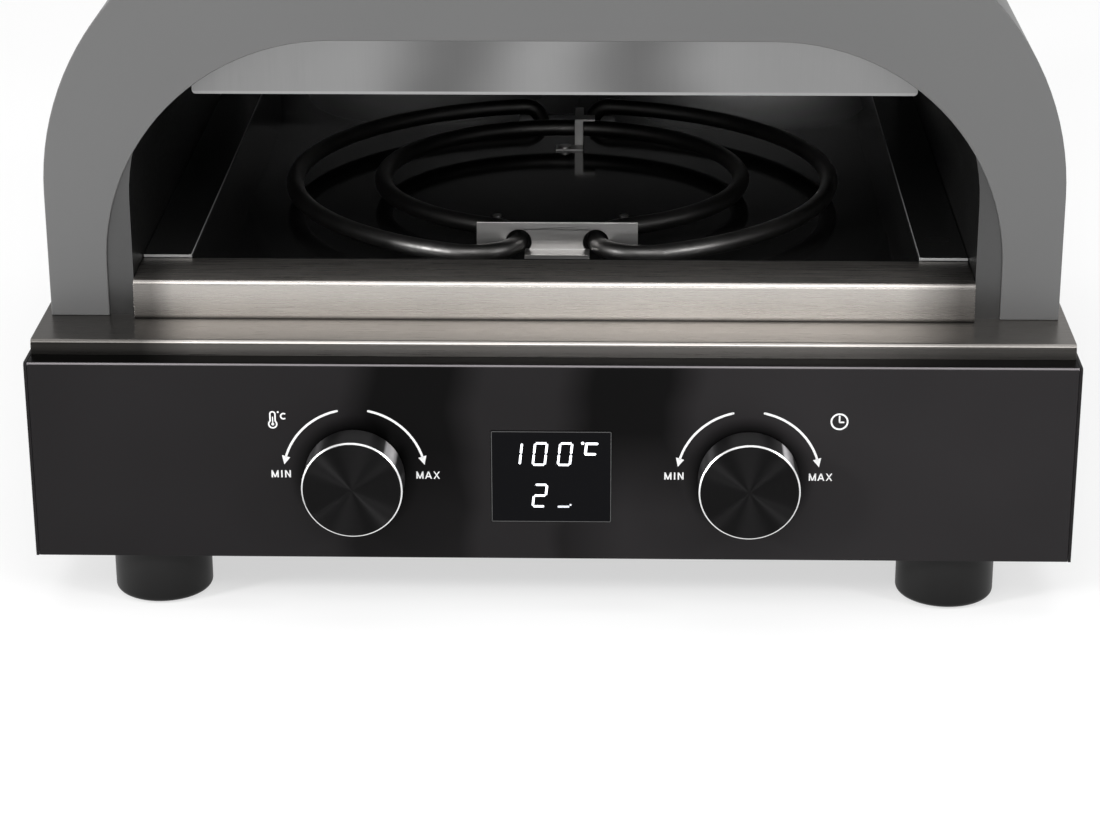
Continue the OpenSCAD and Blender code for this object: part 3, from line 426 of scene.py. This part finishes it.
def shade_well(material):
    """Painted reflection: the floor is lighter towards the back, in patches, standing in for the lit
    back of the cavity that it mirrors.
    """
    tree = material.node_tree
    back = ramp(tree, place(tree, "Y"), start=0.080, end=0.176, low=0.0, high=1.0)
    back = math_node(tree, "MULTIPLY", back, back)
    reflection_patches = reflection_bands(tree, centre=0.005, pitch=0.170, ground=0.0, stripe=1.0, wobble=0.006)
    rightward = ramp(tree, place(tree, "X"), start=-0.02, end=0.05, low=75.0, high=140.0)
    lit = math_node(tree, "MULTIPLY", math_node(tree, "MULTIPLY", back, reflection_patches), rightward)
    scale_colour(material, math_node(tree, "ADD", lit, 1.0))


def shade_heater(material):
    """Painted shade on the turns next to the bracket, and a painted lift further out along X."""
    tree = material.node_tree
    from_middle = math_node(tree, "ABSOLUTE", place(tree, "X"))
    scale_colour(material, ramp(tree, from_middle, start=0.030, end=0.075, low=0.4, high=1.2))


def spun_knob(name, centre_x, centre_z, radius, face_y):
    """Black anodised cup: turned face, polished side with a painted highlight, and a bright cut
    chamfer between them.
    """
    material, tree, shader = new_material(name)
    shader.inputs["Metallic"].default_value = 1.0
    shader.inputs["Anisotropic"].default_value = 1.0
    shader.inputs["Anisotropic Rotation"].default_value = 0.25
    distance, along = axis_distance(tree, centre_x, centre_z)
    rings = tree.nodes.new("ShaderNodeTexNoise")
    rings.noise_dimensions = "1D"
    rings.inputs["Scale"].default_value = 5200.0
    rings.inputs["Detail"].default_value = 2.0
    tree.links.new(distance, rings.inputs["W"])
    turned = two_tone(tree, rings.outputs["Fac"], (0.012, 0.0117, 0.012), (0.018, 0.0177, 0.018))
    tree.links.new(turned, shader.inputs["Base Color"])
    bump(tree, shader, rings.outputs["Fac"], 0.12, 0.00001)
    tangent = tree.nodes.new("ShaderNodeTangent")
    tangent.direction_type = "RADIAL"
    tangent.axis = "Y"
    tree.links.new(tangent.outputs["Tangent"], shader.inputs["Tangent"])

    # Side wall: smoother and lighter, with a painted highlight, a bright streak up to the right that
    # is set by a direction in the room
    on_side = math_node(tree, "GREATER_THAN", distance, radius - 0.0001)
    rough = ramp(tree, on_side, start=0.0, end=1.0, low=0.5, high=0.34)
    tree.links.new(rough, shader.inputs["Roughness"])
    painted_highlight_way = vector_node(tree, "DOT_PRODUCT", normal(tree, "Normal"), (0.77, 0.0, 0.64))
    side = ramp(tree, painted_highlight_way.outputs["Value"], start=0.982, end=0.992, low=3.6, high=40.0)
    side = math_node(tree, "MULTIPLY", on_side, side)
    scale_colour(material, math_node(tree, "MAXIMUM", side, 1.0))

    # Chamfer: a narrow ring at the front, between face and side
    bright = tree.nodes.new("ShaderNodeBsdfPrincipled")
    bright.inputs["Base Color"].default_value = (0.93, 0.93, 0.93, 1.0)
    bright.inputs["Metallic"].default_value = 1.0
    bright.inputs["Roughness"].default_value = 0.3
    outside_face = math_node(tree, "GREATER_THAN", distance, radius - 0.00062)
    inside_wall = math_node(tree, "LESS_THAN", distance, radius - 0.00002)
    at_front = math_node(tree, "LESS_THAN", along, face_y + 0.0009)
    chamfer = math_node(tree, "MULTIPLY", outside_face, inside_wall)
    chamfer = math_node(tree, "MULTIPLY", chamfer, at_front)
    lay_over(tree, chamfer, shader.outputs["BSDF"], bright.outputs["BSDF"])
    return material


# Directions of brush lines, and grain scales of metals
ACROSS = (1.0, 0.0, 0.0)
UPWARD = (0.0, 0.0, 1.0)
LINES_ACROSS = (30.0, 2600.0, 2600.0)
LINES_UPWARD = (2600.0, 2600.0, 30.0)
FINE = even(500.0)

# Colours that more than one material has
BLACK_COAT = (0.0122, 0.0114, 0.0119)
STEEL = (0.56, 0.53, 0.50)

materials = {
    "panel_paint": paint("panel_paint", BLACK_COAT, 0.3, gloss=0.05, vary=0.1),
    "base_paint": paint("base_paint", BLACK_COAT, 0.3, gloss=0.05, vary=0.1),
    "foot": paint("foot", (0.0078, 0.0076, 0.0076), 0.42, gloss=0.2),
    "pad": paint("pad", even(0.035), 0.8, gloss=0.3, grain=900.0, depth=0.00006),
    "cover": paint("cover", even(0.028), 0.5),
    "hood": paint("hood", even(0.091), 0.38, gloss=0.4, grain=2400.0, vary=0.02),
    "hood_back": paint("hood_back", (0.09, 0.09, 0.092), 0.45),
    "liner": metal("liner", even(0.08), 0.36, FINE, vary=0.2),
    "rest": paint("rest", even(0.008), 0.26, gloss=0.5),
    "enamel": paint("enamel", even(0.0085), 0.10, gloss=0.6, grain=120.0, depth=0.00004),
    "window": paint(
        "window", (0.002, 0.002, 0.0026), 0.08, gloss=0.06, grain=300.0, depth=0.000004
    ),
    "black_plastic": paint("black_plastic", even(0.02), 0.5, grain=1200.0, depth=0.00004),
    "white_plastic": paint("white_plastic", (0.62, 0.6, 0.54), 0.5),
    "blue_plastic": paint("blue_plastic", (0.03, 0.07, 0.3), 0.35),
    "board": paint("board", (0.012, 0.12, 0.05), 0.3, vary=0.25),
    "ceramic": paint("ceramic", (0.75, 0.72, 0.64), 0.45, grain=700.0),
    "wool": paint(
        "wool", (0.72, 0.69, 0.6), 0.95, gloss=0.1, grain=160.0, depth=0.0006, vary=0.12
    ),
    "wire": paint("wire", (0.35, 0.03, 0.02), 0.45),
    "deck": metal("deck", STEEL, 0.3, LINES_ACROSS, depth=0.000006, along=ACROSS, share=0.6),
    "landing": metal(
        "landing", STEEL, 0.28, LINES_ACROSS, depth=0.000006, along=ACROSS, share=0.68
    ),
    "baffle": metal("baffle", even(0.28), 0.4, LINES_UPWARD, vary=0.05, along=UPWARD),
    "bracket": metal("bracket", (0.62, 0.61, 0.60), 0.36, LINES_ACROSS, vary=0.1),
    "strap": metal("strap", (0.34, 0.335, 0.33), 0.42, LINES_UPWARD, vary=0.15, drift=60.0),
    "element": metal("element", (0.21, 0.206, 0.202), 0.42, FINE, vary=0.12, drift=40.0),
    "zinc": metal("zinc", (0.55, 0.55, 0.53), 0.35, FINE, vary=0.1, drift=90.0),
    "galvanised": metal(
        "galvanised", (0.5, 0.51, 0.52), 0.4, even(120.0), vary=0.18, drift=35.0
    ),
    "brass": metal("brass", (0.62, 0.44, 0.17), 0.3, even(900.0)),
    # The printed ink glows faintly: painted light
    "glowing_ink": glow("glowing_ink", even(0.90), 0.3),
    "digits": glow("digits", (0.93, 0.95, 1.0), 1.6),
    "dim_digits": glow("dim_digits", (0.8, 0.82, 0.9), 0.35),
    "rim": paint("rim", even(0.05), 0.4),
}
knob_face_y = PANEL_Y - KNOB_REACH
for name, x in (("knob_left", -KNOB_X), ("knob_right", KNOB_X)):
    materials[name] = spun_knob(name, x * MM, KNOB_Z * MM, KNOB_R * MM, knob_face_y * MM)

panel_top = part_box("control_panel")[1][2]
shade_panel(materials["panel_paint"], panel_top)
shade_baffle(materials["baffle"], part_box("baffle")[0][2])
shade_deck(materials["deck"], panel_top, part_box("deck_plate")[1][2])
shade_landing(materials["landing"], *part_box("landing"))
# Feet: painted shade, darker towards the floor
shade_height(materials["foot"], bottom=0.002, top=0.022, low=0.35, high=1.1)
shade_rests(materials["rest"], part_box("stone_rest_left")[1][2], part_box("stone_rest_right")[0][0])
shade_well(materials["enamel"])
shade_heater(materials["element"])

# Pieces that each material is on
WORN_BY = {
    "panel_paint": ["control_panel"],
    "base_paint": ["base_shell"],
    "foot": ["foot_front_left", "foot_front_right", "foot_rear_left", "foot_rear_right"],
    "pad": ["foot_pads"],
    "cover": ["bottom_cover"],
    "hood": ["hood_front", "hood_shell"],
    "hood_back": ["hood_rear"],
    "liner": ["cavity_liner"],
    "rest": ["stone_rest_left", "stone_rest_right"],
    "enamel": ["heater_well"],
    "window": ["display_window"],
    "black_plastic": ["knob_core_left", "knob_core_right", "cable_gland", "gland_nut"],
    "white_plastic": ["display_module", "terminal_block"],
    "blue_plastic": ["board_parts"],
    "board": ["control_board", "relay_board"],
    "ceramic": ["heater_insulators", "thermal_cutout"],
    "wool": ["lower_insulation", "hood_insulation"],
    "wire": ["internal_wires"],
    "deck": ["deck_plate"],
    "landing": ["landing"],
    "baffle": ["baffle"],
    "bracket": ["heater_bracket", "well_rivets", "upper_hangers"],
    "strap": ["rear_strap"],
    "element": ["lower_heater", "upper_heater"],
    "zinc": [
        "foot_screws",
        "bottom_screws",
        "rear_screws",
        "encoder_left",
        "encoder_right",
        "encoder_nuts",
        "encoder_shaft_left",
        "encoder_shaft_right",
        "temperature_probe",
    ],
    "galvanised": ["insulation_tray", "terminal_plate"],
    "brass": ["board_standoffs", "relay_standoffs"],
    "knob_left": ["knob_left"],
    "knob_right": ["knob_right"],
}
for finish, names in WORN_BY.items():
    for name in names:
        worn = nodes[name].data.materials
        worn.clear()
        worn.append(materials[finish])

# Small rounded edges that catch the light, by their width in millimetres
EDGES = {
    "hood_front": 0.45,
    "control_panel": 0.35,
    "base_shell": 0.4,
    "bottom_cover": 0.3,
    "deck_plate": 0.3,
    "landing": 0.25,
    "stone_rest_left": 0.35,
    "stone_rest_right": 0.35,
    "display_window": 0.3,
    "baffle": 0.25,
    "heater_bracket": 0.25,
    "rear_strap": 0.2,
    "cable_gland": 0.4,
}
for name, width in EDGES.items():
    node = nodes[name]
    weld = node.modifiers.new("weld", "WELD")
    weld.merge_threshold = 1e-6
    edge = node.modifiers.new("edge", "BEVEL")
    edge.width = width * MM
    edge.segments = 2
    edge.limit_method = "ANGLE"
    edge.angle_limit = math.radians(40.0)
    edge.use_clamp_overlap = True
    weighted = node.modifiers.new("weighted", "WEIGHTED_NORMAL")
    weighted.keep_sharp = False


# Outlines in X and Z, in millimetres, with angles in degrees
def polar(x, z, r, angle):
    """Point at a distance and an angle from a middle."""
    t = math.radians(angle)
    return (x + r * math.cos(t), z + r * math.sin(t))


def disc(x, z, r, count):
    return [polar(x, z, r, 360 * i / count) for i in range(count)]


def arc_points(x, z, r, start, end, count=40):
    return [polar(x, z, r, start + (end - start) * i / count) for i in range(count + 1)]


def pill(a, b, width, end=None, steps=8):
    """Bar from a to b with round ends; end is how far the round reaches past a and b."""
    end = width / 2 if end is None else end
    angle = math.atan2(b[1] - a[1], b[0] - a[0])
    out = []
    for (x, z), start in ((b, -90), (a, 90)):
        for i in range(steps + 1):
            t = math.radians(start + 180 * i / steps)
            u = end * math.cos(t)
            v = width / 2 * math.sin(t)
            across = u * math.cos(angle) - v * math.sin(angle)
            upward = u * math.sin(angle) + v * math.cos(angle)
            out.append((x + across, z + upward))
    return out


def band(path, width):
    """Strip of even width along a path: one outline, or one to a stretch if the path is closed."""
    closed = path[0] == path[-1]
    points = path[:-1] if closed else path
    count = len(points)
    left_side, right_side = [], []
    for i, (x, z) in enumerate(points):
        before = points[(i - 1) % count] if closed or i > 0 else (x, z)
        after = points[(i + 1) % count] if closed or i < count - 1 else (x, z)
        dx, dz = after[0] - before[0], after[1] - before[1]
        length = math.hypot(dx, dz)
        nx, nz = -dz / length * width / 2, dx / length * width / 2
        left_side.append((x + nx, z + nz))
        right_side.append((x - nx, z - nz))
    if not closed:
        return [left_side + right_side[::-1]]
    loops = []
    for i in range(count):
        j = (i + 1) % count
        loops.append([left_side[i], left_side[j], right_side[j], right_side[i]])
    return loops


def arrow(x, z, r, start, end, width=0.95, head_l=3.7, head_half=1.75):
    """Curved arrow round a knob: an arc that starts round, and a pointed head at its end."""
    turn = 1 if end > start else -1
    head = math.degrees(head_l / r) * turn
    loops = band(arc_points(x, z, r, start, end - head * 0.85), width)
    loops.append(disc(*polar(x, z, r, start), width / 2, 16))
    corners = ((r + head_half, end - head), (r - head_half, end - head), (r, end))
    loops.append([polar(x, z, reach, angle) for reach, angle in corners])
    return loops


# Fronts and common back of the thin raised marks, from the panel's face
PRINT_FRONT = -0.06
SEGMENT_FRONT = -0.05
RIM_FRONT = -0.04
MARK_BACK = 0.02


def prism(name, loops, front, material):
    """Closed flat solids from outlines, as one piece on the housing."""
    vertices = []
    faces = []
    for loop in loops:
        area = sum(a[0] * b[1] - b[0] * a[1] for a, b in zip(loop, loop[1:] + loop[:1]))
        if area < 0:
            loop = loop[::-1]
        start = len(vertices)
        count = len(loop)
        for depth in (front, MARK_BACK):
            vertices += [(x * MM, (PANEL_Y + depth) * MM, z * MM) for x, z in loop]
        faces.append([start + i for i in range(count)])
        faces.append([start + count + i for i in reversed(range(count))])
        for i in range(count):
            j = (i + 1) % count
            faces.append([start + j, start + i, start + count + i, start + count + j])
    mesh = bpy.data.meshes.new(name)
    mesh.from_pydata(vertices, [], faces)
    mesh.update()
    mesh.materials.append(materials[material])
    piece = add_object(name, mesh)
    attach(piece, "housing")


def printed(name, loops):
    prism(name, loops, PRINT_FRONT, "glowing_ink")


arrows = []
for knob_x in (-KNOB_X, KNOB_X):
    arrows.append(arrow(knob_x, KNOB_Z, 29.4, start=103.2, end=170.2))
    arrows.append(arrow(knob_x, KNOB_Z, 29.3, start=77.8, end=10.2))
for index, loops in enumerate(arrows):
    printed(f"print_arrow_{index}", loops)


def thermometer(x, z, line=0.6):
    """Glass with its stem and bulb, a degree sign and a C; x and z are the bulb's middle."""
    bulb_r = 1.65
    stem_r = 1.05
    stem_top = z + 4.35
    glass = arc_points(x, z, bulb_r, 129.0, 411.0, 26)
    glass += arc_points(x, stem_top, stem_r, 0.0, 180.0, 12)
    glass.append(glass[0])
    loops = band(glass, line)
    loops.append(disc(x, z, 0.6, 16))
    loops.append(pill((x, z), (x, z + 3.05), 0.45))
    loops.append(disc(x + 2.25, z + 5.25, 0.42, 16))
    loops += band(arc_points(x + 4.5, z + 3.5, 1.15, 50.0, 310.0, 20), line)
    return loops


def clock(x, z, r=3.3, line=0.68, hand=0.65):
    """Dial's ring with two hands that stand at three o'clock."""
    ring = arc_points(x, z, r, 0.0, 360.0)
    ring[-1] = ring[0]
    loops = band(ring, line)
    pivot = (x, z - 0.25)
    loops.append(pill(pivot, (x, z + 2.35), hand))
    loops.append(pill(pivot, (x + 1.7, z - 0.25), hand))
    return loops


printed("print_thermometer", thermometer(-114.0, 84.35))
printed("print_clock", clock(117.5, 86.85))

# Capitals: the width between stroke middles, and strokes in shares of that width and the height
STROKE = 0.56
LETTERS = {
    "M": (2.4, [((0, 0), (0, 1)), ((0, 1), (0.5, 0)), ((0.5, 0), (1, 1)), ((1, 0), (1, 1))]),
    "I": (0.0, [((0, 0), (0, 1))]),
    "N": (1.85, [((0, 0), (0, 1)), ((0, 1), (1, 0)), ((1, 0), (1, 1))]),
    "A": (2.35, [((0, 0), (0.5, 1)), ((0.5, 1), (1, 0)), ((0.24, 0.3), (0.76, 0.3))]),
    "X": (2.1, [((0, 0), (1, 1)), ((0, 1), (1, 0))]),
}


def word(text, x, z, width, height=3.2):
    """Capitals about a middle, spaced out to a width, in strokes with level ends."""
    spare = width - sum(LETTERS[letter][0] + STROKE for letter in text)
    half = STROKE / 2
    left = x - width / 2 + half
    loops = []
    for letter in text:
        wide, strokes = LETTERS[letter]
        for a, b in strokes:
            (ax, az), (bx, bz) = [(left + u * wide, z + (v - 0.5) * height) for u, v in (a, b)]
            if az == bz:
                loops.append([(ax, az - half), (bx, az - half), (bx, az + half), (ax, az + half)])
            else:
                loops.append([(ax - half, az), (ax + half, az), (bx + half, bz), (bx - half, bz)])
        left += wide + STROKE + spare / (len(text) - 1)
    return loops


printed("print_min_left", word("MIN", -111.3, 62.4, width=8.0))
printed("print_max_left", word("MAX", -50.7, 62.2, width=9.7))
printed("print_min_right", word("MIN", 50.4, 62.5, width=7.9))
printed("print_max_right", word("MAX", 110.5, 62.4, width=9.6))

# Display: slanted digits of seven bars, each bar in shares of the digit's width and height
DIGIT_W = 4.9
SLANT = 0.11
BARS = {
    "top": ((0, 1), (1, 1)),
    "middle": ((0, 0.5), (1, 0.5)),
    "bottom": ((0, 0), (1, 0)),
    "upper_left": ((0, 0.5), (0, 1)),
    "lower_left": ((0, 0), (0, 0.5)),
    "upper_right": ((1, 0.5), (1, 1)),
    "lower_right": ((1, 0), (1, 0.5)),
}
ZERO = ["top", "bottom", "upper_left", "lower_left", "upper_right", "lower_right"]
ONE = ["upper_right", "lower_right"]
TWO = ["top", "upper_right", "middle", "lower_left", "bottom"]


def digit(bars, x, z, height, gap=0.58):
    """Lit bars of a digit, each cut short by a gap at both ends; x and z are its lower left."""
    loops = []
    for bar in bars:
        (ax, az), (bx, bz) = [
            (x + u * DIGIT_W + v * height * SLANT, z + v * height) for u, v in BARS[bar]
        ]
        cut = gap / math.hypot(bx - ax, bz - az)
        a = (ax + (bx - ax) * cut, az + (bz - az) * cut)
        b = (bx - (bx - ax) * cut, bz - (bz - az) * cut)
        loops.append(pill(a, b, width=0.92, end=0.36))
    return loops


# Upper row: 100 and a degree sign with a small square C. Lower row: 2, and a dim dash with a dot
segments = []
for bars, x in ((ONE, -17.9), (ZERO, -7.6), (ZERO, 2.7)):
    segments += digit(bars, x, 67.1, height=9.5)
degree_sign = disc(12.9, 76.7, 0.65, 20)
upper_bar = pill((14.5, 76.5), (18.8, 76.5), 1.0)
left_bar = pill((14.45, 76.2), (14.0, 72.2), 1.05)
lower_bar = pill((14.1, 71.9), (17.9, 71.9), 1.0)
segments += [degree_sign, upper_bar, left_bar, lower_bar]
segments += digit(TWO, -7.7, 48.6, height=9.6)
prism("display_segments", segments, SEGMENT_FRONT, "digits")
dash = [pill((3.0, 48.5), (7.0, 48.5), 0.9), disc(7.9, 49.3, 0.45, 16)]
prism("display_dash", dash, SEGMENT_FRONT, "dim_digits")

# Thin line round the display window
WINDOW_HALF = 24.5
WINDOW_LOW = 41.8
WINDOW_HIGH = 81.6
window_corners = [
    (-WINDOW_HALF, WINDOW_LOW),
    (WINDOW_HALF, WINDOW_LOW),
    (WINDOW_HALF, WINDOW_HIGH),
    (-WINDOW_HALF, WINDOW_HIGH),
]
next_corners = window_corners[1:] + window_corners[:1]
rim = [pill(a, b, width=0.3, end=0.1) for a, b in zip(window_corners, next_corners)]
prism("display_rim", rim, RIM_FRONT, "rim")


# Floor
def pale_floor():
    """Even pale coat, partly white of its own where camera, gloss or glass sees it."""
    material, tree, shader = new_material("floor")
    shader.inputs["Roughness"].default_value = 0.9
    shader.inputs["Specular IOR Level"].default_value = 0.0
    tones = two_tone(tree, noise(tree, even(0.4)), even(0.9), even(0.91))
    tree.links.new(tones, shader.inputs["Base Color"])
    rays = tree.nodes.new("ShaderNodeLightPath").outputs
    seen = math_node(tree, "MAXIMUM", rays["Is Camera Ray"], rays["Is Glossy Ray"])
    seen = math_node(tree, "MAXIMUM", seen, rays["Is Transmission Ray"])
    white = tree.nodes.new("ShaderNodeEmission")
    white.inputs["Color"].default_value = (1.0, 1.0, 1.0, 1.0)
    white.inputs["Strength"].default_value = 1.0
    white_share = math_node(tree, "MULTIPLY", seen, 0.6)
    lay_over(tree, white_share, shader.outputs["BSDF"], white.outputs["Emission"])
    return material


floor_mesh = bpy.data.meshes.new("floor")
floor_mesh.from_pydata(
    [(-9.0, -6.0, 0.0), (9.0, -6.0, 0.0), (9.0, 12.0, 0.0), (-9.0, 12.0, 0.0)], [], [[0, 1, 2, 3]]
)
floor_mesh.materials.append(pale_floor())
floor = add_object("floor", floor_mesh)
floor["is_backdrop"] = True

# Light: an even white world and soft boxes
world = bpy.data.worlds.new("world")
world.use_nodes = True
bpy.context.scene.world = world
background = first_node(world.node_tree, "BACKGROUND")
background.inputs["Color"].default_value = (1.0, 1.0, 1.0, 1.0)
background.inputs["Strength"].default_value = 0.55


def softbox(name, stand, target, width, height, power):
    data = bpy.data.lights.new(name, "AREA")
    data.shape = "RECTANGLE"
    data.size = width
    data.size_y = height
    data.energy = power
    lamp = add_object(name, data)
    aim = (Vector(target) - Vector(stand)).to_track_quat("-Z", "Y")
    lamp.matrix_world = Matrix.Translation(Vector(stand)) @ aim.to_matrix().to_4x4()


softbox("overhead", (0.0, 0.2, 2.2), (0.0, 0.0, 0.1), 2.2, 1.6, 14.0)
softbox("front_box", (0.0, -1.9, 1.9), (0.0, 0.0, 0.12), 2.0, 1.0, 23.0)
softbox("low_box", (0.12, -2.3, 0.42), (0.0, 0.1, 0.14), 0.6, 0.25, 4.0)
softbox("left_strip", (-1.60, -1.12, 0.79), (-0.06, -0.1, 0.13), 0.25, 0.3, 20.0)
softbox("right_strip", (1.60, -1.12, 0.79), (0.06, -0.1, 0.13), 0.25, 0.3, 11.0)
softbox("left_box", (-2.3, -1.15, 0.3), (0.0, -0.2, 0.1), 0.6, 0.4, 16.0)
softbox("right_box", (2.2, -1.1, 1.9), (0.0, 0.0, 0.12), 0.6, 0.6, 12.0)

size_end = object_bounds()


def plain(value):
    if isinstance(value, dict):
        return {k: plain(v) for k, v in value.items()}
    if isinstance(value, (str, bool, int)) or value is None:
        return value
    if isinstance(value, float):
        return value
    return [plain(v) for v in value]


{"start": plain(size_start), "end": plain(size_end)}
